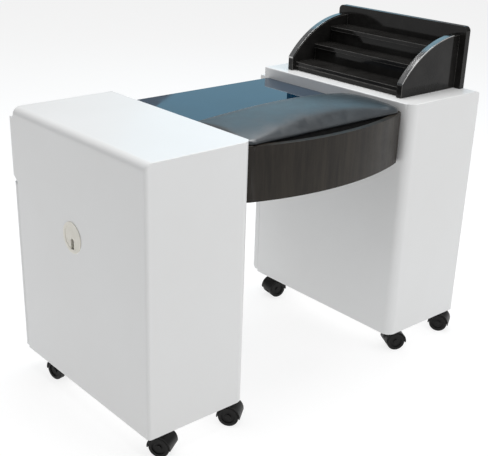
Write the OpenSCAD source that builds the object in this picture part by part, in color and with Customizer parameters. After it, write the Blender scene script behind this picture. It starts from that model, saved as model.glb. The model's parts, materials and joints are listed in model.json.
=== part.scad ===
// Manicure table: two white cabinets on casters, a low glass top between them, a bow-fronted
// apron with an armrest cushion on the client's side, and a stepped display rack.
// +X runs along the table, -Y is the client's side, +Y the technician's side, +Z is up.
// The origin is on the floor under the middle of the table.

/* [Table] */
// Length over both cabinets
table_l = 1150; // [1050:10:1300]
// Height of the cabinet tops above the floor
table_h = 750; // [740:5:780]
// Depth of the cabinet carcasses, from the client's end to the technician's end
cab_d = 575; // [560:5:620]

/* [Cabinets] */
// Width of one cabinet
cab_w = 298; // [290:2:320]
// Thickness of the carcass boards
board_t = 18; // [16:1:19]
// Thickness of the top boards
top_t = 25; // [24:1:28]
// Thickness of the boards at the client's end
end_t = 36; // [36:1:40]
// Radius of each cabinet's upright corner beside the knee space, at the client's end
corner_r = 26; // [20:1:35]
// Radius of each cabinet's outer upright corner, at the client's end
outer_corner_r = 9; // [5:1:30]
// Radius of the rounded outer edge of each top
bullnose_r = 22; // [15:1:22]
// Radius of the other long edge of each top
edge_r = 3; // [2:1:4]
// Height of the carcass above the floor
caster_h = 65; // [65:1:68]
// Height of the shelf in each cupboard
shelf_z = 300; // [250:10:350]

/* [Drawers and doors] */
// Thickness of the drawer fronts and doors
front_t = 18; // [16:1:20]
// Gap between the carcass and the back of a drawer front or door
front_gap = 2; // [1.5:0.5:3]
// Height of the doors' top edge above the floor
door_top = 545; // [540:1:550]
// Height of the bevel under each drawer front, which is its finger pull
pull_bevel = 16; // [12:1:20]
// Length of the drawer boxes and their runners
box_l = 450; // [400:10:480]
// Height of the drawer box boards
box_h = 110; // [90:5:120]

/* [Work top and armrest] */
// Height of the glass surface above the floor
glass_z = 719.5; // [710:0.5:722]
// Thickness of the glass
glass_t = 8; // [6:1:10]
// Distance that the apron bows out past the cabinets' client ends
bow_proud = 22; // [15:1:30]
// Radius of the apron's bow
bow_r = 770; // [700:10:900]
// Thickness of the apron
apron_t = 16; // [12:1:18]
// Height of the apron's lower edge above the floor
apron_z = 590; // [570:5:620]
// Height of the armrest's crown above its base board
pad_h = 34; // [28:1:40]
// Depth of the armrest, front to back
pad_d = 216; // [180:4:230]

/* [Display rack] */
// Width over the rack's curved side panels
rack_w = 442; // [400:2:460]
// Thickness of the side and back panels
rack_t = 18; // [15:1:18]
// Height of the back panel
rack_h = 172; // [165:1:190]
// Radius of the side panels' curved edges
rack_r = 285; // [280:1:290]
// Rise of each step
step_rise = 46; // [44:1:47]

/* [Casters] */
// Radius of the wheels
wheel_r = 27; // [24:0.5:27.5]
// Width of one wheel
wheel_w = 19; // [15:1:20]
// Distance from the swivel axis to the wheel axle
trail = 24; // [20:1:25]
// Distance of each swivel axis from the cabinet's long sides and client's end
caster_inset = 42; // [40:1:60]
// Distance of each swivel axis from the cabinet's technician's end
caster_end_inset = 68; // [40:1:80]

/* [Hidden] */

$fa = 4;
$fs = 0.8;
round_fn = 96;
bow_fn = 480;
slop = 1;

LEFT = -1;
RIGHT = 1;
WHITE = [0.93, 0.93, 0.92];
INSIDE_WHITE = [0.86, 0.86, 0.85];
GLOSS_BLACK = [0.05, 0.05, 0.05];
DARK_BROWN = [0.14, 0.12, 0.11];
STEEL = [0.7, 0.7, 0.72];
CHROME = [0.85, 0.85, 0.87];
IVORY = [0.88, 0.84, 0.74];
CHARCOAL = [0.24, 0.26, 0.29];
CASTER_BLACK = [0.08, 0.08, 0.08];
GLASS_BLUE = [0.25, 0.5, 0.65];
RUBBER = [0.12, 0.12, 0.12];

// Places shared by the pieces. Cabinet pieces are drawn in the right cabinet's own
// coordinates: x from its inner face, y from the client's end, z from the floor.
gap = table_l - 2 * cab_w;
client_y = -(cab_d + front_gap + front_t - bow_proud) / 2;
top_z = table_h - top_t;
floor_z = caster_h + board_t;
inner_w = cab_w - 2 * board_t;
front_y = cab_d + front_gap;

// Divider, drawer front and door heights
plate_t = 3;
divider_z = door_top + 1 + plate_t;
drawer_front_z = divider_z + 1;
drawer_front_top = top_z - 3;
door_z = caster_h + 7;
door_bevel = 10;
reveal = 1;

// Pivot hinges: a steel plate with a pin at the top and bottom of each door
pivot_inset = front_t / 2;
pivot_x = cab_w - reveal - pivot_inset;
pivot_y = front_y + front_t / 2;
pin_r = 3;
pin_l = 15;
fit_gap = 0.05;
plate_x = 250;
plate_in = 30;

// Drawer box and runners
runner_gap = 13;
box_t = 12;
box_bottom_t = 6;
box_x = board_t + runner_gap;
box_w = inner_w - 2 * runner_gap;
box_z = 575;
runner_z = 628;
runner_h = 40;
sheet_t = 1.5;
flange_d = 8;
rail_h = 16;
rail_x = 2.2;

// Shelf pegs
peg_r = 2.5;
peg_l = 8;
peg_y = [end_t + 60, cab_d - 70];

// Cable port in the left cabinet's outer side
port_y = 310;
port_z = 484;
port_r = 35;
ring_flange_r = 40;
ring_proud = 2;
cap_r = 31;
lip_r = 28;
lip_depth = 6;
notch_w = 14;
notch_from = 10;

// Work top
deck_t = 18;
deck_z = glass_z - glass_t - deck_t;
deck_end = 560;
apron_top = 727;
apron_return = 60;
glass_start = apron_return + 1;
bow_end_r = 28;
bow_centre = bow_r - bow_proud;
cleat_h = 30;
rail_drop = 80;
spacer_w = 20;
strip_half = 236;
strip_y = 34;
strip_w = 15.5;

// Armrest
pad_front = 24;
pad_half = gap / 2 - 5;
base_t = 8;
base_z = apron_top;
pad_z = base_z + base_t;
pad_end_h = 8;
pad_corner_r = 28;
pad_sag = pad_h - pad_end_h;
pad_crown_r = (pad_half * pad_half + pad_sag * pad_sag) / (2 * pad_sag);

// Display rack, in table coordinates along x and from the cabinet's middle along y
rack_front = 309;
rack_back_x = 537;
rack_mid_y = client_y + cab_d / 2;
rack_overhang = 20;
rack_corner_r = 14;
rack_arc_x = 535.7;
rack_arc_z = table_h - 137.3;
trim_t = 3;
trim_from = table_h + 36;
step_x = [322.5, 402, 468];
step_nose = 4;
tread_t = 12;
riser_t = 10;
first_step = 25;

// Casters: direction in which each one trails, in degrees from +X
caster_yaw = [-80, -58, -52, 150, 170, -30, -60, 60];
hood_t = 3;
hood_clear = 1;
web_t = 13;
stem_r = 4;
boss_r = 9;
axle_r = 3;
hood_top = 60;
caster_plate = 40;
caster_plate_t = 3;
hole_pitch = 30;
screw_r = 1.8;
screw_head_r = 3.4;
screw_head_t = 1.6;
screw_l = 14;

// Places a right-hand cabinet piece on either cabinet
module in_cabinet(side) {
  if (side == RIGHT) translate([gap / 2, client_y, 0]) children();
  else mirror([1, 0, 0]) translate([gap / 2, client_y, 0]) children();
}

// What is left of a square corner outside its rounding
module corner_waste(r) {
  difference() {
    translate([-slop, -slop]) square(r + slop);
    translate([r, r]) circle(r, $fn = round_fn);
  }
}

// Plan of a cabinet: two rounded corners at the client's end
module cabinet_plan() {
  difference() {
    square([cab_w, cab_d]);
    corner_waste(corner_r);
    translate([cab_w, 0]) mirror([1, 0]) corner_waste(outer_corner_r);
  }
}

// Section across a top board, inner edge at x = 0
module top_section() {
  difference() {
    square([cab_w, top_t]);
    translate([0, top_t]) mirror([0, 1]) corner_waste(edge_r);
    translate([cab_w, top_t]) rotate(180) corner_waste(bullnose_r);
  }
}

// Section along a top board, with the client's edge eased
module top_side_section() {
  difference() {
    square([cab_d, top_t]);
    translate([0, top_t]) mirror([0, 1]) corner_waste(edge_r);
  }
}

module top_board(side) {
  color(WHITE) in_cabinet(side) intersection() {
    translate([0, 0, top_z]) linear_extrude(top_t) cabinet_plan();
    translate([0, cab_d, top_z]) rotate([90, 0, 0]) linear_extrude(cab_d) top_section();
    translate([0, 0, top_z]) rotate([90, 0, 90]) linear_extrude(cab_w) top_side_section();
  }
}

// Holes for the shelf pegs, open to the inside face of a side board
module peg_holes(face_x, into) {
  for (y = peg_y)
    translate([face_x, y, shelf_z - peg_r]) rotate([0, into * 90, 0])
      cylinder(r = peg_r + fit_gap, h = peg_l + fit_gap, $fn = 32);
}

module outer_side(side) {
  color(WHITE) in_cabinet(side) difference() {
    translate([cab_w - board_t, end_t, floor_z]) cube([board_t, cab_d - end_t, top_z - floor_z]);
    peg_holes(cab_w - board_t, 1);
    if (side == LEFT)
      translate([cab_w - board_t - slop, port_y, port_z]) rotate([0, 90, 0])
        cylinder(r = port_r, h = board_t + 2 * slop, $fn = round_fn);
  }
}

module inner_side(side) {
  color(WHITE) in_cabinet(side) difference() {
    translate([0, end_t, floor_z]) cube([board_t, cab_d - end_t, top_z - floor_z]);
    peg_holes(board_t, -1);
  }
}

module client_end(side) {
  color(WHITE) in_cabinet(side) translate([0, 0, floor_z]) linear_extrude(top_z - floor_z)
    intersection() {
      cabinet_plan();
      square([cab_w, end_t]);
    }
}

// Places of the four casters under a cabinet, from the client's end outwards
function caster_places() = [
  [cab_w - caster_inset, cab_d - caster_end_inset],
  [cab_w - caster_inset, caster_inset],
  [caster_inset, caster_inset],
  [caster_inset, cab_d - caster_end_inset]
];

// The four screw places around each caster's swivel axis
module at_screws() {
  for (p = caster_places(), i = [-1, 1], j = [-1, 1])
    translate([p[0] + i * hole_pitch / 2, p[1] + j * hole_pitch / 2, 0]) children();
}

module bottom_board(side) {
  color(WHITE) in_cabinet(side) difference() {
    translate([0, 0, caster_h]) linear_extrude(board_t) cabinet_plan();
    translate([plate_x - 0.5, cab_d - plate_in - 0.5, door_z - 1 - plate_t])
      cube([cab_w - board_t - plate_x + 0.5, plate_in + 2, plate_t]);
    at_screws() translate([0, 0, caster_h - slop])
      cylinder(r = screw_r + fit_gap, h = screw_l - caster_plate_t + slop + 0.5, $fn = 24);
  }
}

module drawer_dividers() {
  color(INSIDE_WHITE) for (side = [LEFT, RIGHT]) in_cabinet(side)
    translate([board_t, end_t, divider_z]) cube([inner_w, cab_d - end_t, board_t]);
}

module cabinet_shelves() {
  color(INSIDE_WHITE) for (side = [LEFT, RIGHT]) in_cabinet(side)
    translate([board_t + reveal, end_t + 30, shelf_z])
      cube([inner_w - 2 * reveal, cab_d - end_t - 55, board_t]);
}

module shelf_pegs() {
  color(STEEL) for (side = [LEFT, RIGHT], y = peg_y) in_cabinet(side) {
    translate([board_t - peg_l, y, shelf_z - peg_r]) rotate([0, 90, 0])
      cylinder(r = peg_r, h = 2 * peg_l, $fn = 32);
    translate([cab_w - board_t - peg_l, y, shelf_z - peg_r]) rotate([0, 90, 0])
      cylinder(r = peg_r, h = 2 * peg_l, $fn = 32);
  }
}

// Section of the fixed runner channel, web against the cabinet side at x = 0
module channel_section() {
  translate([0, -runner_h / 2]) square([sheet_t, runner_h]);
  translate([0, -runner_h / 2]) square([flange_d, sheet_t]);
  translate([0, runner_h / 2 - sheet_t]) square([flange_d, sheet_t]);
}

// Section of the moving runner, plate against the drawer box at x = runner_gap
module slide_section() {
  translate([rail_x, -rail_h / 2]) square([runner_gap - rail_x, rail_h]);
  translate([runner_gap - sheet_t, -runner_h / 2]) square([sheet_t, runner_h]);
}

// Runs a runner section along both sides of a drawer space
module runner_pair(length) {
  for (flip = [0, 1])
    translate([flip * cab_w, 0, 0]) mirror([flip, 0, 0])
      translate([board_t, cab_d - 2, runner_z]) rotate([90, 0, 0]) linear_extrude(length) children();
}

module fixed_runners() {
  color(STEEL) for (side = [LEFT, RIGHT]) in_cabinet(side) runner_pair(box_l) channel_section();
}

module drawer_runners(side) {
  color(STEEL) in_cabinet(side) runner_pair(box_l - 4) slide_section();
}

module drawer_front(side) {
  color(WHITE) in_cabinet(side) translate([reveal, front_y, 0]) rotate([90, 0, 90])
    linear_extrude(cab_w - 2 * reveal) polygon([
      [0, drawer_front_z],
      [front_t, drawer_front_z + pull_bevel],
      [front_t, drawer_front_top],
      [0, drawer_front_top]
    ]);
}

module drawer_box(side) {
  color(INSIDE_WHITE) in_cabinet(side) translate([box_x, front_y - box_l, box_z]) {
    cube([box_t, box_l, box_h]);
    translate([box_w - box_t, 0, 0]) cube([box_t, box_l, box_h]);
    translate([box_t, 0, 0]) cube([box_w - 2 * box_t, box_t, box_h]);
    translate([box_t, box_l - box_t, 0]) cube([box_w - 2 * box_t, box_t, box_h]);
  }
}

module drawer_bottom(side) {
  color(INSIDE_WHITE) in_cabinet(side)
    translate([box_x, front_y - box_l, box_z - box_bottom_t]) cube([box_w, box_l, box_bottom_t]);
}

// Door: the hinge edge is fully rounded about the pivot axis
module door(side) {
  color(WHITE) in_cabinet(side) difference() {
    translate([0, 0, door_z]) linear_extrude(door_top - door_z) union() {
      translate([reveal, front_y]) square([pivot_x - reveal, front_t]);
      translate([pivot_x, pivot_y]) circle(front_t / 2, $fn = round_fn);
    }
    translate([pivot_x, pivot_y, door_top - pin_l - 1])
      cylinder(r = pin_r + fit_gap, h = pin_l + 2, $fn = 48);
    translate([pivot_x, pivot_y, door_z - 1])
      cylinder(r = pin_r + fit_gap, h = pin_l + 2, $fn = 48);
    translate([-slop, front_y + front_t, door_z]) rotate([90, 0, 90])
      linear_extrude(cab_w + 2 * slop)
        polygon([[-door_bevel * 0.7, -slop], [slop, -slop], [slop, door_bevel]]);
  }
}

// One pivot plate: a tongue inside the carcass and an arm over or under the door
module pivot_plate(z) {
  translate([plate_x, cab_d - plate_in, z])
    cube([cab_w - board_t - plate_x - 0.5, plate_in + 1, plate_t]);
  translate([plate_x, cab_d + 0.5, z]) cube([cab_w - 3 - plate_x, front_t, plate_t]);
}

module door_pivots() {
  color(STEEL) for (side = [LEFT, RIGHT]) in_cabinet(side) {
    union() {
      pivot_plate(door_top + 1);
      translate([pivot_x, pivot_y, door_top + 1 - pin_l]) cylinder(r = pin_r, h = pin_l + 1, $fn = 48);
    }
    union() {
      pivot_plate(door_z - 1 - plate_t);
      translate([pivot_x, pivot_y, door_z - 2]) cylinder(r = pin_r, h = pin_l + 1, $fn = 48);
    }
  }
}

// Places a shape turned about the cable port's axis, +Z becoming the way out of the cabinet
module at_port() {
  in_cabinet(LEFT) translate([cab_w, port_y, port_z]) rotate([0, 90, 0]) children();
}

module cable_port_ring() {
  color(IVORY) at_port() rotate_extrude($fn = round_fn) {
    translate([cap_r, 0]) square([ring_flange_r - cap_r, ring_proud]);
    translate([cap_r, -board_t]) square([port_r - 0.2 - cap_r, board_t]);
    translate([lip_r, -lip_depth - 2]) square([cap_r - lip_r + 1, 2]);
  }
}

module cable_port_cap() {
  color(IVORY) at_port() translate([0, 0, -lip_depth]) linear_extrude(lip_depth + 1) difference() {
    circle(cap_r - fit_gap, $fn = round_fn);
    translate([notch_from, -notch_w / 2]) square([cap_r, notch_w]);
    translate([notch_from, 0]) circle(notch_w / 2, $fn = 48);
  }
}

// Where the bow's long curve meets the small curve at its right-hand end
bow_end_x = gap / 2 - bow_end_r;
bow_end_y = bow_centre - sqrt(pow(bow_r - bow_end_r, 2) - pow(bow_end_x, 2));
bow_lean = [bow_end_x, bow_end_y - bow_centre] / (bow_r - bow_end_r);

// Plan of the bowed apron: one long curve, a small curve at each end, and a straight return
module apron_plan() {
  reach = 3 * bow_end_r;
  far = 1.3 * bow_r;
  intersection() {
    translate([0, bow_centre]) difference() {
      circle(bow_r, $fn = bow_fn);
      circle(bow_r - apron_t, $fn = bow_fn);
    }
    polygon([
      [0, bow_centre],
      [bow_lean[0] * far, bow_centre + bow_lean[1] * far],
      [-bow_lean[0] * far, bow_centre + bow_lean[1] * far]
    ]);
  }
  for (flip = [0, 1]) mirror([flip, 0]) {
    intersection() {
      translate([bow_end_x, bow_end_y]) difference() {
        circle(bow_end_r, $fn = round_fn);
        circle(bow_end_r - apron_t, $fn = round_fn);
      }
      polygon([
        [bow_end_x, bow_end_y],
        [bow_end_x + bow_lean[0] * reach, bow_end_y + bow_lean[1] * reach],
        [bow_end_x + reach, bow_end_y - reach],
        [bow_end_x + reach, bow_end_y]
      ]);
    }
    translate([gap / 2 - apron_t, bow_end_y]) square([apron_t, apron_return - bow_end_y]);
  }
}

// Front of the deck board, just inside the bow
module deck_front_plan() {
  deck_gap = 0.5;
  intersection() {
    translate([0, bow_centre]) circle(bow_r - apron_t - deck_gap, $fn = bow_fn);
    translate([-bow_end_x, -bow_proud]) square([2 * bow_end_x, apron_return + deck_gap + bow_proud]);
  }
}

module glass_top() {
  color(GLASS_BLUE) translate([-gap / 2 + reveal, client_y + glass_start, glass_z - glass_t])
    cube([gap - 2 * reveal, deck_end - glass_start, glass_t]);
}

module deck_board() {
  color(GLOSS_BLACK) translate([0, client_y, deck_z]) linear_extrude(deck_t) union() {
    translate([-gap / 2, apron_return + 0.5]) square([gap, deck_end - apron_return - 0.5]);
    deck_front_plan();
  }
}

module deck_cleats() {
  color(GLOSS_BLACK) for (x = [-gap / 2, gap / 2 - board_t])
    translate([x, client_y + apron_return + 10, deck_z - cleat_h])
      cube([board_t, deck_end - apron_return - board_t - 20, cleat_h]);
}

module rear_rail() {
  color(GLOSS_BLACK) translate([-gap / 2, client_y + deck_end - board_t, deck_z - rail_drop])
    cube([gap, board_t, rail_drop]);
}

module apron() {
  color(DARK_BROWN) translate([0, client_y, apron_z]) linear_extrude(apron_top - apron_z) apron_plan();
}

// Plan of the armrest: rounded corners at the client's side, inset by a distance
module armrest_plan(inset) {
  half = pad_half - inset;
  difference() {
    translate([-half, pad_front + inset]) square([2 * half, pad_d - 2 * inset]);
    translate([-half, pad_front + inset]) corner_waste(pad_corner_r);
    translate([half, pad_front + inset]) mirror([1, 0]) corner_waste(pad_corner_r);
  }
}

module armrest_spacers() {
  rear_half = pad_half - 20;
  color(RUBBER) {
    translate([-strip_half, client_y + strip_y, deck_z + deck_t])
      cube([2 * strip_half, strip_w, base_z - deck_z - deck_t]);
    translate([-rear_half, client_y + pad_front + pad_d - 2 * spacer_w, glass_z])
      cube([2 * rear_half, spacer_w, base_z - glass_z]);
  }
}

module armrest_base() {
  color(RUBBER) translate([0, client_y, base_z]) linear_extrude(base_t) armrest_plan(2);
}

module armrest_pad() {
  color(CHARCOAL) intersection() {
    translate([0, client_y, pad_z]) linear_extrude(pad_h + slop) armrest_plan(0);
    translate([0, client_y, pad_z + pad_h - pad_crown_r]) rotate([-90, 0, 0])
      cylinder(r = pad_crown_r, h = cab_d, $fn = bow_fn);
  }
}

// Outline of a rack side panel in the x-z plane
module rack_side_outline() {
  intersection() {
    translate([rack_front, table_h]) square([rack_back_x - rack_front, rack_h]);
    translate([rack_arc_x, rack_arc_z]) circle(rack_r, $fn = bow_fn);
  }
}

// Outline of the metal trim on the curved edge
module rack_trim_outline() {
  intersection() {
    translate([rack_front, trim_from]) square([rack_back_x - rack_front, rack_h]);
    translate([rack_arc_x, rack_arc_z]) difference() {
      circle(rack_r + trim_t, $fn = bow_fn);
      circle(rack_r, $fn = bow_fn);
    }
  }
}

// Stands an x-z outline up between two depths, measured from the cabinet's middle
module rack_slice(from_y, width) {
  translate([0, rack_mid_y + from_y + width, 0]) rotate([90, 0, 0]) linear_extrude(width) children();
}

module rack_side(from_y) {
  color(GLOSS_BLACK) rack_slice(from_y, rack_t) rack_side_outline();
}

module rack_trims() {
  color(CHROME) for (y = [-rack_w / 2, rack_w / 2 - rack_t]) rack_slice(y, rack_t) rack_trim_outline();
}

module rack_back() {
  back_w = rack_w + 2 * rack_overhang;
  color(GLOSS_BLACK) translate([rack_back_x, rack_mid_y - back_w / 2, table_h])
    rotate([90, 0, 90]) linear_extrude(rack_t) difference() {
      square([back_w, rack_h]);
      translate([0, rack_h]) mirror([0, 1]) corner_waste(rack_corner_r);
      translate([back_w, rack_h]) rotate(180) corner_waste(rack_corner_r);
    }
}

// Surface height of each step, and the depth at which it stops
function step_z(i) = table_h + first_step + i * step_rise;
function step_end(i) = i < 2 ? step_x[i + 1] : rack_back_x;

module rack_treads() {
  color(GLOSS_BLACK) rack_slice(-rack_w / 2 + rack_t, rack_w - 2 * rack_t) for (i = [0:2])
    translate([step_x[i] - (i > 0 ? step_nose : 0), step_z(i) - tread_t])
      square([step_end(i) - step_x[i] + (i > 0 ? step_nose : 0), tread_t]);
}

module rack_risers() {
  color(GLOSS_BLACK) rack_slice(-rack_w / 2 + rack_t, rack_w - 2 * rack_t) for (i = [0:2])
    translate([step_x[i], table_h]) square([riser_t, step_z(i) - tread_t - table_h]);
}

// Places a caster piece: number 1 to 4 under the left cabinet, 5 to 8 under the right.
// Locally the swivel axis is at x = 0 and the wheels trail towards +x.
module at_caster(number) {
  right = number > 4;
  pick = right ? [3, 2, 1, 0][number - 5] : number - 1;
  place = caster_places()[pick];
  x = (gap / 2 + place[0]) * (right ? 1 : -1);
  translate([x, client_y + place[1], 0]) rotate(caster_yaw[number - 1]) children();
}

// Room for the wheels, on both sides of the hood's web
module wheel_room() {
  for (flip = [0, 1]) mirror([0, flip, 0])
    translate([trail, web_t / 2 + wheel_w + 10, wheel_r]) rotate([90, 0, 0])
      cylinder(r = wheel_r + hood_clear, h = wheel_w + 10, $fn = round_fn);
}

module caster_hood(number) {
  hood_w = web_t + 2 * wheel_w + 1;
  outer_r = wheel_r + hood_clear + hood_t;
  color(CASTER_BLACK) at_caster(number) difference() {
    union() {
      translate([trail, hood_w / 2, wheel_r]) rotate([90, 0, 0]) linear_extrude(hood_w) intersection() {
        circle(outer_r, $fn = round_fn);
        translate([-outer_r, -3]) square([2 * outer_r, outer_r + 3]);
      }
      translate([trail, web_t / 2, wheel_r]) rotate([90, 0, 0]) linear_extrude(web_t)
        circle(wheel_r - 8, $fn = round_fn);
      translate([0, 0, wheel_r + 5]) cylinder(r = boss_r, h = hood_top - wheel_r - 5, $fn = 64);
    }
    wheel_room();
    translate([0, 0, 44]) cylinder(r = stem_r + fit_gap, h = 30, $fn = 48);
    translate([trail, web_t, wheel_r]) rotate([90, 0, 0])
      cylinder(r = axle_r + fit_gap, h = 2 * web_t, $fn = 48);
  }
}

// One wheel: eased tread edges and a dished outer face, on its side with the outer face up
module wheel_blank() {
  ease = 2.5;
  dish_r = 14;
  dish_d = 3;
  rotate_extrude($fn = round_fn) difference() {
    translate([axle_r, 0]) square([wheel_r - axle_r, wheel_w]);
    translate([wheel_r, 0]) mirror([1, 0]) corner_waste(ease);
    translate([wheel_r, wheel_w]) rotate(180) corner_waste(ease);
    translate([axle_r + 4, wheel_w - dish_d]) square([dish_r - axle_r, dish_d + slop]);
  }
}

module caster_wheels(number) {
  side_gap = 0.4;
  half_axle = web_t / 2 + wheel_w;
  color(CASTER_BLACK) at_caster(number) translate([trail, 0, wheel_r]) {
    for (turn = [-90, 90]) rotate([turn, 0, 0])
      translate([0, 0, web_t / 2 + side_gap]) wheel_blank();
    rotate([90, 0, 0]) cylinder(r = axle_r, h = 2 * half_axle, center = true, $fn = 48);
  }
}

// Steel top plate and swivel stem of each caster
module caster_mounts() {
  color(STEEL) for (number = [1:8]) {
    right = number > 4;
    pick = right ? [3, 2, 1, 0][number - 5] : number - 1;
    place = caster_places()[pick];
    x = (gap / 2 + place[0]) * (right ? 1 : -1);
    translate([x, client_y + place[1], 0]) difference() {
      union() {
        translate([-caster_plate / 2, -caster_plate / 2, caster_h - caster_plate_t])
          cube([caster_plate, caster_plate, caster_plate_t]);
        translate([0, 0, 46]) cylinder(r = stem_r, h = caster_h - 46 - 1, $fn = 48);
      }
      for (i = [-1, 1], j = [-1, 1])
        translate([i * hole_pitch / 2, j * hole_pitch / 2, caster_h - caster_plate_t - slop])
          cylinder(r = screw_r + fit_gap, h = caster_plate_t + 2 * slop, $fn = 24);
    }
  }
}

module caster_screws() {
  color(STEEL) for (side = [LEFT, RIGHT]) in_cabinet(side) at_screws() {
    head_z = caster_h - caster_plate_t - screw_head_t;
    translate([0, 0, head_z]) cylinder(r = screw_head_r, h = screw_head_t, $fn = 24);
    translate([0, 0, head_z]) cylinder(r = screw_r, h = screw_l + screw_head_t, $fn = 24);
  }
}

top_board(LEFT);  // left_top
outer_side(LEFT);  // left_outer_side
inner_side(LEFT);  // left_inner_side
client_end(LEFT);  // left_client_end
bottom_board(LEFT);  // left_bottom
top_board(RIGHT);  // right_top
outer_side(RIGHT);  // right_outer_side
inner_side(RIGHT);  // right_inner_side
client_end(RIGHT);  // right_client_end
bottom_board(RIGHT);  // right_bottom
drawer_dividers();
cabinet_shelves();
shelf_pegs();
fixed_runners();
door_pivots();
drawer_front(LEFT);  // left_drawer_front
drawer_box(LEFT);  // left_drawer_box
drawer_bottom(LEFT);  // left_drawer_bottom
drawer_runners(LEFT);  // left_drawer_runners
drawer_front(RIGHT);  // right_drawer_front
drawer_box(RIGHT);  // right_drawer_box
drawer_bottom(RIGHT);  // right_drawer_bottom
drawer_runners(RIGHT);  // right_drawer_runners
door(LEFT);  // left_door
door(RIGHT);  // right_door
cable_port_ring();
cable_port_cap();
glass_top();
deck_board();
deck_cleats();
rear_rail();
apron();
armrest_spacers();
armrest_base();
armrest_pad();
rack_side(-rack_w / 2);  // rack_client_side
rack_side(rack_w / 2 - rack_t);  // rack_technician_side
rack_back();
rack_treads();
rack_risers();
rack_trims();
caster_mounts();
caster_screws();
caster_hood(1);  // caster_1_hood
caster_wheels(1);  // caster_1_wheels
caster_hood(2);  // caster_2_hood
caster_wheels(2);  // caster_2_wheels
caster_hood(3);  // caster_3_hood
caster_wheels(3);  // caster_3_wheels
caster_hood(4);  // caster_4_hood
caster_wheels(4);  // caster_4_wheels
caster_hood(5);  // caster_5_hood
caster_wheels(5);  // caster_5_wheels
caster_hood(6);  // caster_6_hood
caster_wheels(6);  // caster_6_wheels
caster_hood(7);  // caster_7_hood
caster_wheels(7);  // caster_7_wheels
caster_hood(8);  // caster_8_hood
caster_wheels(8);  // caster_8_wheels
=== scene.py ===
import json
import math

import bmesh
import bpy
from mathutils import Matrix, Vector


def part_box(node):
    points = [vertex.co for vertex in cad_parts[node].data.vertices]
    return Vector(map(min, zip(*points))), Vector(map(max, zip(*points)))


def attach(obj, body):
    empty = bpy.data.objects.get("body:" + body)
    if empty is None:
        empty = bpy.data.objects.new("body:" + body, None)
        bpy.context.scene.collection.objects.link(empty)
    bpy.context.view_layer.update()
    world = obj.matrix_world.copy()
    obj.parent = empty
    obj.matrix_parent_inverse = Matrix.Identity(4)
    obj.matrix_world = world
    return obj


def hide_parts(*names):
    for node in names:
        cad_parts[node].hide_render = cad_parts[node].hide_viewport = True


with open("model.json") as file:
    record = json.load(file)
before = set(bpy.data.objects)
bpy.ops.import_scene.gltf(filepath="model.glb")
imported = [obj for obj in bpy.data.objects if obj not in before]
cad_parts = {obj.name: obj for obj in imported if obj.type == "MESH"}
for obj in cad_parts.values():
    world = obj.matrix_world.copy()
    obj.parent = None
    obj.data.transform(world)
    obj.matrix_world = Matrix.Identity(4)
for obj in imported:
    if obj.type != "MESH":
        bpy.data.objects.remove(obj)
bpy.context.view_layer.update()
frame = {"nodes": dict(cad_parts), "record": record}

MM = 0.001
NODES = frame["nodes"]

# camera: lengths in metres, lens and sensor in mm, angles in radians
CAMERA_PLACE = (-1.6212, -1.7860, 1.3409)
CAMERA_YAW = 0.70813
CAMERA_PITCH = -0.41492
CAMERA_ROLL = 0.02617
CAMERA_LENS = 67.98
CAMERA_SENSOR = 36.0
CAMERA_SHIFT = (0.0287, 0.0656)
CAMERA_REACH = 100.0

# light and floor
WORLD_COLOUR = (0.97, 0.985, 1.0, 1.0)
WORLD_STRENGTH = 0.24
LIGHT_TARGET = (0.0, 0.0, 0.5)
WHITE_LIGHT = (1.0, 1.0, 1.0)
BLUE_LIGHT = (0.24, 0.72, 1.0)
FLOOR_HALF = 40.0
FLOOR_COLOUR = (0.28, 0.28, 0.28, 1.0)
FLOOR_ROUGHNESS = 0.9
FLOOR_GLOW_COLOUR = (1.0, 1.0, 1.0, 1.0)
FLOOR_GLOW = 0.80

# eased edges of the CAD nodes
WELD_GAP = 0.01 * MM
BEVEL_SEGMENTS = 3
BEVEL_ANGLE = math.radians(35.0)
FACE_WEIGHT = 80


# ---------------------------------------------------------------- camera, light and floor

def make_camera():
    """A camera on the client's side and to the left, looking down on the table."""
    forward = Vector((
        math.sin(CAMERA_YAW) * math.cos(CAMERA_PITCH),
        math.cos(CAMERA_YAW) * math.cos(CAMERA_PITCH),
        math.sin(CAMERA_PITCH),
    ))
    level = Vector((math.cos(CAMERA_YAW), -math.sin(CAMERA_YAW), 0.0))
    above = level.cross(forward)
    right = math.cos(CAMERA_ROLL) * level + math.sin(CAMERA_ROLL) * above
    up = math.cos(CAMERA_ROLL) * above - math.sin(CAMERA_ROLL) * level
    data = bpy.data.cameras.new("camera")
    data.sensor_width = CAMERA_SENSOR
    data.lens = CAMERA_LENS
    data.shift_x, data.shift_y = CAMERA_SHIFT
    data.clip_end = CAMERA_REACH
    camera = bpy.data.objects.new("camera", data)
    bpy.context.scene.collection.objects.link(camera)
    turn = Matrix((right, up, -forward)).transposed()
    camera.matrix_world = Matrix.Translation(CAMERA_PLACE) @ turn.to_4x4()
    bpy.context.scene.camera = camera


def add_area(name, place, size, power, tint=WHITE_LIGHT):
    """A round lamp that shines on the middle of the table."""
    data = bpy.data.lights.new(name, "AREA")
    data.shape = "DISK"
    data.size = size
    data.energy = power
    data.color = tint
    light = bpy.data.objects.new(name, data)
    light.location = place
    towards = Vector(LIGHT_TARGET) - Vector(place)
    light.rotation_euler = towards.to_track_quat("-Z", "Y").to_euler()
    bpy.context.scene.collection.objects.link(light)


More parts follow.
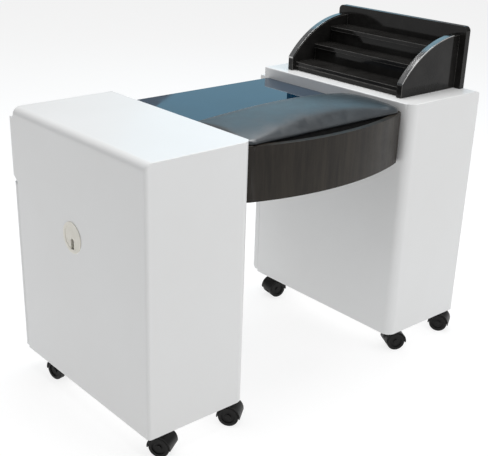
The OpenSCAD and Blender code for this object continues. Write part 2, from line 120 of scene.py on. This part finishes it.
def make_light():
    world = bpy.data.worlds.new("studio")
    bpy.context.scene.world = world
    world.use_nodes = True
    tree = world.node_tree
    tree.nodes.clear()
    output = tree.nodes.new("ShaderNodeOutputWorld")
    background = tree.nodes.new("ShaderNodeBackground")
    background.inputs["Color"].default_value = WORLD_COLOUR
    background.inputs["Strength"].default_value = WORLD_STRENGTH
    tree.links.new(background.outputs[0], output.inputs[0])
    add_area("key", place=(0.9, -2.6, 3.4), size=2.4, power=36.0)
    add_area("top", place=(0.2, 0.3, 3.9), size=3.0, power=108.0)
    add_area("back", place=(2.4, 2.2, 2.6), size=3.0, power=10.0, tint=BLUE_LIGHT)
    bpy.context.scene.view_settings.view_transform = "Standard"


def make_floor():
    mesh = bpy.data.meshes.new("floor")
    signs = ((-1, -1), (1, -1), (1, 1), (-1, 1))
    corners = [(x * FLOOR_HALF, y * FLOOR_HALF, 0.0) for x, y in signs]
    mesh.from_pydata(corners, [], [(0, 1, 2, 3)])
    floor = bpy.data.objects.new("floor", mesh)
    bpy.context.scene.collection.objects.link(floor)
    material = bpy.data.materials.new("pale_floor")
    material.use_nodes = True
    shader = material.node_tree.nodes["Principled BSDF"]
    shader.inputs["Base Color"].default_value = FLOOR_COLOUR
    shader.inputs["Roughness"].default_value = FLOOR_ROUGHNESS
    shader.inputs["Emission Color"].default_value = FLOOR_GLOW_COLOUR
    shader.inputs["Emission Strength"].default_value = FLOOR_GLOW
    mesh.materials.append(material)


# ---------------------------------------------------------------- material helpers

class Surface:
    """A Principled material with helpers for its procedural detail, in object coordinates."""

    def __init__(self, name, edge, roughness, **constants):
        self.edge = edge
        self.previous_bump = None
        self.material = bpy.data.materials.new(name + "_edge" if edge else name)
        self.material.use_nodes = True
        self.nodes = self.material.node_tree.nodes
        self.links = self.material.node_tree.links
        self.shader = self.nodes["Principled BSDF"]
        self.shader.inputs["Roughness"].default_value = roughness
        for socket, value in constants.items():
            self.shader.inputs[socket.replace("_", " ")].default_value = value
        self.place = self.nodes.new("ShaderNodeTexCoord").outputs["Object"]

    def stretched(self, scale):
        mapping = self.nodes.new("ShaderNodeMapping")
        mapping.inputs["Scale"].default_value = scale
        self.links.new(self.place, mapping.inputs["Vector"])
        return mapping.outputs["Vector"]

    def noise(self, scale, detail=3.0, rough=0.55, place=None):
        node = self.nodes.new("ShaderNodeTexNoise")
        node.inputs["Scale"].default_value = scale
        node.inputs["Detail"].default_value = detail
        node.inputs["Roughness"].default_value = rough
        self.links.new(place or self.place, node.inputs["Vector"])
        return node.outputs["Fac"]

    def cells(self, scale, feature="F1"):
        node = self.nodes.new("ShaderNodeTexVoronoi")
        node.feature = feature
        node.inputs["Scale"].default_value = scale
        self.links.new(self.place, node.inputs["Vector"])
        return node.outputs["Distance"]

    def ramp(self, value, low, high, start=0.0, end=1.0):
        """Maps value from low..high to start..end, held at the ends."""
        node = self.nodes.new("ShaderNodeMapRange")
        node.inputs["From Min"].default_value = low
        node.inputs["From Max"].default_value = high
        node.inputs["To Min"].default_value = start
        node.inputs["To Max"].default_value = end
        self.links.new(value, node.inputs["Value"])
        return node.outputs["Result"]

    def scaled(self, value, factor):
        node = self.nodes.new("ShaderNodeMath")
        node.operation = "MULTIPLY"
        self.links.new(value, node.inputs[0])
        node.inputs[1].default_value = factor
        return node.outputs[0]

    def mix(self, factor, a, b):
        """Mixes two colours, each of them a constant or a node's output."""
        node = self.nodes.new("ShaderNodeMix")
        node.data_type = "RGBA"
        self.links.new(factor, node.inputs[0])
        for socket, value in zip((node.inputs[6], node.inputs[7]), (a, b)):
            if isinstance(value, tuple):
                socket.default_value = (*value, 1.0)
            else:
                self.links.new(value, socket)
        return node.outputs[2]

    def edge_wear_and_highlight(self, clean, edge_colour, amount, patches, low, high):
        """On an eased edge, turns patches of the clean colour into another: rubbed wear on most
        finishes, and a painted highlight on the gloss black.
        """
        if not self.edge:
            return clean
        return self.mix(self.scaled(self.ramp(patches, low, high), amount), clean, edge_colour)

    def colour(self, value):
        self.links.new(value, self.shader.inputs["Base Color"])

    def roughness(self, value):
        self.links.new(value, self.shader.inputs["Roughness"])

    def bump(self, height, depth, strength):
        """Lays relief of the given depth over any relief that is already there."""
        node = self.nodes.new("ShaderNodeBump")
        node.inputs["Strength"].default_value = strength
        node.inputs["Distance"].default_value = depth
        self.links.new(height, node.inputs["Height"])
        if self.previous_bump is not None:
            self.links.new(self.previous_bump, node.inputs["Normal"])
        self.previous_bump = node.outputs["Normal"]
        self.links.new(self.previous_bump, self.shader.inputs["Normal"])


# ---------------------------------------------------------------- materials

def white_lacquer(edge):
    s = Surface("white_lacquer", edge, 0.3, Coat_Weight=0.3, Coat_Roughness=0.14)
    cloud = s.noise(2.6, detail=4.0)
    grime = s.noise(9.0, detail=6.0, rough=0.7)
    tone = s.mix(s.ramp(cloud, 0.3, 0.7), (0.835, 0.835, 0.83), (0.86, 0.865, 0.865))
    s.colour(s.edge_wear_and_highlight(tone, (0.66, 0.64, 0.60), amount=0.35, patches=grime, low=0.52, high=0.7))
    # the whole range stays above 0.28, as one that crosses it renders as patches
    s.roughness(s.ramp(cloud, 0.3, 0.7, start=0.29, end=0.33))
    s.bump(s.noise(320.0, detail=2.0), depth=0.05 * MM, strength=0.4)
    return s.material


def white_melamine(edge):
    s = Surface("white_melamine", edge, 0.45)
    cloud = s.ramp(s.noise(6.0, detail=5.0), 0.35, 0.65)
    s.colour(s.mix(cloud, (0.74, 0.74, 0.72), (0.80, 0.80, 0.79)))
    s.roughness(s.ramp(s.noise(30.0, detail=4.0), 0.3, 0.7, start=0.38, end=0.52))
    s.bump(s.noise(900.0, detail=2.0), depth=0.1 * MM, strength=0.6)
    return s.material


def gloss_black(edge):
    s = Surface("gloss_black", edge, 0.06, Specular_IOR_Level=0.2)
    dust = s.ramp(s.noise(420.0, detail=2.0, rough=0.8), 0.66, 0.78)
    smear = s.noise(12.0, detail=5.0, rough=0.6)
    deep = s.mix(s.ramp(smear, 0.35, 0.7), (0.010, 0.0095, 0.009), (0.022, 0.021, 0.020))
    # eased edges: a lighter grey over nearly all their length, a painted highlight for the light
    # lines the step nosings catch, broken up in smear-shaped patches
    deep = s.edge_wear_and_highlight(deep, (0.12, 0.115, 0.11), amount=1.0, patches=smear, low=0.25, high=0.5)
    s.colour(s.mix(s.scaled(dust, 0.08), deep, (0.35, 0.34, 0.33)))
    s.roughness(s.ramp(smear, 0.3, 0.75, start=0.05, end=0.14))
    s.bump(s.noise(55.0, detail=2.0), depth=0.08 * MM, strength=0.3)
    return s.material


def black_board(edge):
    s = Surface("black_board", edge, 0.4)
    cloud = s.ramp(s.noise(18.0, detail=5.0), 0.35, 0.65)
    # near-black matt board: the deck under the glass, and where it shows in the slot beneath the
    # armrest its black is painted shade standing in for the shade in that gap
    s.colour(s.mix(cloud, (0.012, 0.012, 0.012), (0.022, 0.021, 0.020)))
    s.roughness(s.ramp(s.noise(40.0, detail=4.0), 0.3, 0.7, start=0.34, end=0.5))
    s.bump(s.noise(700.0, detail=2.0), depth=0.1 * MM, strength=0.7)
    return s.material


def dark_laminate(edge):
    s = Surface("dark_laminate", edge, 0.3, Specular_IOR_Level=0.24)
    streak = s.noise(9.0, detail=6.0, rough=0.65, place=s.stretched((6.0, 6.0, 0.55)))
    mottle = s.noise(28.0, detail=5.0, rough=0.7)
    base = s.mix(s.ramp(streak, 0.35, 0.68), (0.013, 0.010, 0.0075), (0.031, 0.025, 0.018))
    s.colour(s.edge_wear_and_highlight(base, (0.11, 0.10, 0.09), amount=0.6, patches=mottle, low=0.42, high=0.62))
    s.roughness(s.ramp(mottle, 0.3, 0.7, start=0.30, end=0.42))
    s.bump(s.noise(520.0, detail=2.0), depth=0.1 * MM, strength=0.7)
    return s.material


def blue_glass(edge):
    s = Surface("blue_glass", edge, 0.03, IOR=1.9, Specular_IOR_Level=0.5)
    smear = s.noise(7.0, detail=5.0, rough=0.6)
    s.colour(s.mix(s.ramp(smear, 0.3, 0.7), (0.001, 0.022, 0.050), (0.002, 0.030, 0.066)))
    s.roughness(s.ramp(s.noise(22.0, detail=6.0, rough=0.7), 0.35, 0.75, start=0.02, end=0.09))
    s.bump(s.noise(5.0, detail=1.0), depth=0.2 * MM, strength=0.15)
    return s.material


def zinc_steel(edge):
    s = Surface("zinc_steel", edge, 0.35, Metallic=1.0)
    patch = s.cells(420.0)
    s.colour(s.mix(s.ramp(patch, 0.1, 0.8), (0.50, 0.51, 0.52), (0.64, 0.65, 0.66)))
    s.roughness(s.ramp(s.noise(60.0, detail=4.0), 0.3, 0.7, start=0.30, end=0.46))
    s.bump(s.noise(500.0, detail=2.0), depth=0.08 * MM, strength=0.5)
    return s.material


def chrome_trim(edge):
    s = Surface("chrome_trim", edge, 0.12, Metallic=1.0)
    rub = s.noise(40.0, detail=5.0, rough=0.7, place=s.stretched((1.0, 6.0, 1.0)))
    s.colour(s.mix(s.ramp(rub, 0.35, 0.7), (0.38, 0.38, 0.38), (0.54, 0.535, 0.53)))
    s.roughness(s.ramp(rub, 0.3, 0.75, start=0.08, end=0.24))
    s.bump(s.noise(300.0, detail=2.0), depth=0.06 * MM, strength=0.3)
    return s.material


def ivory_plastic(edge):
    s = Surface("ivory_plastic", edge, 0.4)
    cloud = s.ramp(s.noise(35.0, detail=4.0), 0.35, 0.65)
    s.colour(s.mix(cloud, (0.84, 0.81, 0.72), (0.90, 0.87, 0.79)))
    s.roughness(s.ramp(s.noise(80.0), 0.3, 0.7, start=0.34, end=0.48))
    s.bump(s.noise(1400.0, detail=2.0), depth=0.06 * MM, strength=0.6)
    return s.material


def spacer_rubber(edge):
    s = Surface("spacer_rubber", edge, 0.75)
    cloud = s.ramp(s.noise(60.0, detail=4.0), 0.35, 0.65)
    s.colour(s.mix(cloud, (0.012, 0.012, 0.012), (0.028, 0.028, 0.027)))
    s.bump(s.noise(900.0), depth=0.12 * MM, strength=0.8)
    return s.material


def charcoal_vinyl(edge):
    coat = {"Coat_Weight": 0.75, "Coat_Roughness": 0.34}
    s = Surface("charcoal_vinyl", edge, 0.32, Specular_IOR_Level=0.8, **coat)
    cloud = s.ramp(s.noise(14.0, detail=5.0, rough=0.6), 0.35, 0.65)
    s.colour(s.mix(cloud, (0.014, 0.020, 0.025), (0.022, 0.031, 0.038)))
    s.roughness(s.ramp(s.noise(30.0, detail=5.0, rough=0.6), 0.3, 0.7, start=0.3, end=0.46))
    s.bump(s.cells(620.0, "SMOOTH_F1"), depth=0.25 * MM, strength=0.5)
    s.bump(s.noise(26.0, detail=4.0, rough=0.6), depth=0.5 * MM, strength=0.2)
    return s.material


def caster_plastic(name, edge, roughness, dark):
    """Scuffed black plastic, clouded from one dark grey to a slightly lighter one."""
    s = Surface(name, edge, roughness, Specular_IOR_Level=0.22)
    scuff = s.noise(120.0, detail=6.0, rough=0.75)
    cloud = s.ramp(s.noise(25.0, detail=4.0), 0.35, 0.65)
    base = s.mix(cloud, (dark, dark, dark), (dark * 1.7, dark * 1.65, dark * 1.6))
    s.colour(s.edge_wear_and_highlight(base, (0.05, 0.05, 0.05), amount=0.5, patches=scuff, low=0.4, high=0.6))
    s.roughness(s.ramp(scuff, 0.3, 0.7, start=roughness - 0.08, end=roughness + 0.12))
    s.bump(s.noise(1100.0, detail=2.0), depth=0.08 * MM, strength=0.6)
    return s.material


def hood_plastic(edge):
    return caster_plastic("hood_plastic", edge, roughness=0.38, dark=0.006)


def wheel_plastic(edge):
    return caster_plastic("wheel_plastic", edge, roughness=0.5, dark=0.007)


# each slot's maker and the width of its eased edges
FINISHES = {
    "white_lacquer": (white_lacquer, 1.0 * MM),
    "white_melamine": (white_melamine, 0.6 * MM),
    "gloss_black": (gloss_black, 1.6 * MM),
    "black_board": (black_board, 0.6 * MM),
    "dark_laminate": (dark_laminate, 0.5 * MM),
    "blue_glass": (blue_glass, 1.2 * MM),
    "steel": (zinc_steel, 0.25 * MM),
    "chrome_trim": (chrome_trim, 0.5 * MM),
    "ivory_plastic": (ivory_plastic, 0.5 * MM),
    "spacer_rubber": (spacer_rubber, 0.6 * MM),
    "charcoal_vinyl": (charcoal_vinyl, 1.0 * MM),
    "hood_plastic": (hood_plastic, 0.7 * MM),
    "wheel_plastic": (wheel_plastic, 0.3 * MM),
}


# ---------------------------------------------------------------- carried-over CAD nodes

def dress_node(node, material, edge_material, bevel_width):
    """Gives a CAD node its material, eased edges with an edge material of their own (rubbed wear,
    and on the gloss black a painted highlight), and smooth shading.
    """
    thing = NODES[node]
    thing.data.materials.clear()
    thing.data.materials.append(material)
    thing.data.materials.append(edge_material)
    for face in thing.data.polygons:
        face.use_smooth = True
    weld = thing.modifiers.new("weld", "WELD")
    weld.merge_threshold = WELD_GAP
    bevel = thing.modifiers.new("bevel", "BEVEL")
    bevel.width = bevel_width
    bevel.segments = BEVEL_SEGMENTS
    bevel.limit_method = "ANGLE"
    bevel.angle_limit = BEVEL_ANGLE
    bevel.use_clamp_overlap = True
    bevel.material = 1
    normals = thing.modifiers.new("normals", "WEIGHTED_NORMAL")
    normals.keep_sharp = False
    normals.weight = FACE_WEIGHT


def dress_frame():
    """Dresses every CAD node, and returns the materials of each slot's faces."""
    faces = {slot: maker(edge=False) for slot, (maker, _) in FINISHES.items()}
    edges = {slot: maker(edge=True) for slot, (maker, _) in FINISHES.items()}
    for part in frame["record"]["subparts"]:
        slot = part["material_slot"]
        _, bevel_width = FINISHES[slot]
        dress_node(part["node"], faces[slot], edges[slot], bevel_width)
    return faces


# ---------------------------------------------------------------- armrest cushion

def quarter_round(past, radius):
    """A quarter circle's height: 1 up to where it begins, falling to 0 one radius further on."""
    run = max(0.0, past) / radius
    return math.sqrt(max(0.0, 1.0 - run * run))


class Cushion:
    """The armrest: vinyl stretched over crowned foam and wrapped round the edge of its base board.

    Its grid runs along the table in u, and from the client's side to the technician's in v, both
    from -1 to 1.
    """

    columns = 120
    rows = 48
    # share of the grid's spacing that draws together towards the ends
    bunching = 0.25
    # how far the cover stays inside the pad's box at its sides and at its top
    side_inset = 1.5 * MM
    top_inset = 2.0 * MM
    # how far the cover's underside lies above the base board's
    board_gap = 0.4 * MM
    # rounding of the two front corners in plan, and of the two ends in height
    corner = 30 * MM
    end_round = 9 * MM
    end_height = 6.5 * MM
    # how far the crown's top lies behind the middle, and the two powers that give its fullness
    lean = 0.06
    side_power = 2.5
    crown_power = 0.62
    # the band round the board's edge: its height, and where and how far it bulges
    wrap = 9 * MM
    bulge_share = 0.45
    bulge = 0.9 * MM
    # the cloth simulation's length, and the most that it may move a point
    last_frame = 20
    swell_cap = 4.5 * MM
    # place along the table, reach and depth of each pucker, and what they have in common
    puckers = ((-52 * MM, 6 * MM, 0.9 * MM), (62 * MM, 7 * MM, 0.8 * MM))
    pucker_v = -0.93
    pucker_pull = Vector((0.0, 0.7, -0.7))
    pucker_reaches = 2.5

    def __init__(self):
        low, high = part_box("armrest_pad")
        base_low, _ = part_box("armrest_base")
        self.half = high.x - self.side_inset
        self.front = low.y + self.side_inset
        self.back = high.y - self.side_inset
        self.bottom = base_low.z + self.board_gap
        self.crown = high.z - self.top_inset - self.bottom - self.wrap

    def front_at(self, x):
        past = abs(x) - (self.half - self.corner)
        return self.front + self.corner * (1.0 - quarter_round(past, self.corner))

    def height(self, u, v):
        """Height of the foam above the wrapped edge."""
        tall = self.end_height + (self.crown - self.end_height) * (1.0 - u * u)
        end = quarter_round(abs(u) * self.half - (self.half - self.end_round), self.end_round)
        leaning = v - self.lean * (1.0 - v * v)
        across = (1.0 - abs(leaning) ** self.side_power) ** self.crown_power
        return tall * across * end

    def point(self, u, v, lift):
        x = u * self.half
        front = self.front_at(x)
        y = front + (self.back - front) * (v + 1.0) / 2.0
        return Vector((x, y, self.bottom + lift))

    def foam_point(self, u, v):
        return self.point(u, v, self.wrap + self.height(u, v))

    def spread(self, i, count):
        """The i-th of a row of places from -1 to 1, drawn together towards the ends."""
        t = 2.0 * i / count - 1.0
        return (1.0 - self.bunching) * t + self.bunching * math.sin(t * math.pi / 2.0)

    def rim(self):
        """The grid's outer places in order, from the front left corner round the right end."""
        ring = [(i, 0) for i in range(self.columns)]
        ring += [(self.columns, j) for j in range(self.rows)]
        ring += [(i, self.rows) for i in range(self.columns, 0, -1)]
        ring += [(0, j) for j in range(self.rows, 0, -1)]
        return ring

    def add_faces(self, mesh, top, under):
        for i in range(self.columns):
            for j in range(self.rows):
                mesh.faces.new((top[i][j], top[i + 1][j], top[i + 1][j + 1], top[i][j + 1]))
                mesh.faces.new((under[i][j], under[i][j + 1], under[i + 1][j + 1], under[i + 1][j]))

    def add_band(self, mesh, top, under):
        """Closes the rim with a band that bulges a little, and returns the band's middle points."""
        ring = self.rim()
        middle = []
        for i, j in ring:
            low, high = under[i][j].co, top[i][j].co
            out = Vector((high.x, high.y - (self.front + self.back) / 2.0, 0.0)).normalized()
            middle.append(mesh.verts.new(low.lerp(high, self.bulge_share) + out * self.bulge))
        for k, (i, j) in enumerate(ring):
            after = (k + 1) % len(ring)
            i2, j2 = ring[after]
            mesh.faces.new((under[i][j], under[i2][j2], middle[after], middle[k]))
            mesh.faces.new((middle[k], middle[after], top[i2][j2], top[i][j]))
        return middle

    def build(self):
        """The cover before it is stretched, with its underside and its band in the group pinned."""
        mesh = bmesh.new()
        top, under = [], []
        for i in range(self.columns + 1):
            u = self.spread(i, self.columns)
            top.append([])
            under.append([])
            for j in range(self.rows + 1):
                v = self.spread(j, self.rows)
                top[i].append(mesh.verts.new(self.foam_point(u, v)))
                under[i].append(mesh.verts.new(self.point(u, v, 0.0)))
        self.add_faces(mesh, top, under)
        middle = self.add_band(mesh, top, under)
        mesh.verts.index_update()
        pinned = [v.index for row in under for v in row] + [v.index for v in middle]
        bmesh.ops.recalc_face_normals(mesh, faces=mesh.faces)
        data = bpy.data.meshes.new("armrest_cushion")
        mesh.to_mesh(data)
        mesh.free()
        thing = bpy.data.objects.new("armrest_cushion", data)
        bpy.context.scene.collection.objects.link(thing)
        group = thing.vertex_groups.new(name="pinned")
        group.add(pinned, 1.0, "REPLACE")
        return thing

    def inflate(self, thing):
        """Stretches the vinyl over the foam with a short cloth simulation, and keeps its result."""
        rest = [v.co.copy() for v in thing.data.vertices]
        cloth = thing.modifiers.new("cloth", "CLOTH")
        cloth.settings.quality = 6
        cloth.settings.vertex_group_mass = "pinned"
        cloth.settings.use_pressure = True
        cloth.settings.uniform_pressure_force = 4.0
        cloth.settings.shrink_min = -0.002
        cloth.settings.tension_stiffness = 40.0
        cloth.settings.compression_stiffness = 40.0
        cloth.settings.shear_stiffness = 20.0
        cloth.settings.bending_stiffness = 1.5
        cloth.settings.effector_weights.gravity = 0.0
        cloth.collision_settings.use_self_collision = False
        cloth.point_cache.frame_start = 1
        cloth.point_cache.frame_end = self.last_frame
        scene = bpy.context.scene
        for number in range(1, self.last_frame + 1):
            scene.frame_set(number)
        shown = thing.evaluated_get(bpy.context.evaluated_depsgraph_get())
        swollen = [v.co.copy() for v in shown.data.vertices]
        thing.modifiers.remove(cloth)
        for vertex, start, end in zip(thing.data.vertices, rest, swollen):
            move = end - start
            if move.length > 0.0:
                move *= self.swell_cap * math.tanh(move.length / self.swell_cap) / move.length
            vertex.co = start + move
        scene.frame_set(1)

    def pucker(self, thing):
        """Small puckers low on the client's side, where the vinyl is tacked down."""
        for x, reach, depth in self.puckers:
            place = self.foam_point(x / self.half, self.pucker_v)
            for vertex in thing.data.vertices:
                gap = (vertex.co - place).length / reach
                if gap < self.pucker_reaches:
                    vertex.co += self.pucker_pull * depth * math.exp(-gap * gap)

    def make(self, material):
        thing = self.build()
        self.inflate(thing)
        self.pucker(thing)
        thing.data.materials.append(material)
        for face in thing.data.polygons:
            face.use_smooth = True
        # evens out the stretched vinyl, and leaves the pinned edge where it is
        relax = thing.modifiers.new("relax", "SMOOTH")
        relax.factor = 0.5
        relax.iterations = 6
        relax.vertex_group = "pinned"
        relax.invert_vertex_group = True
        smooth = thing.modifiers.new("smooth", "SUBSURF")
        smooth.levels = 1
        smooth.render_levels = 1
        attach(thing, "table")
        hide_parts("armrest_pad", "armrest_base")


make_camera()
make_light()
make_floor()
MATERIALS = dress_frame()
Cushion().make(MATERIALS["charcoal_vinyl"])
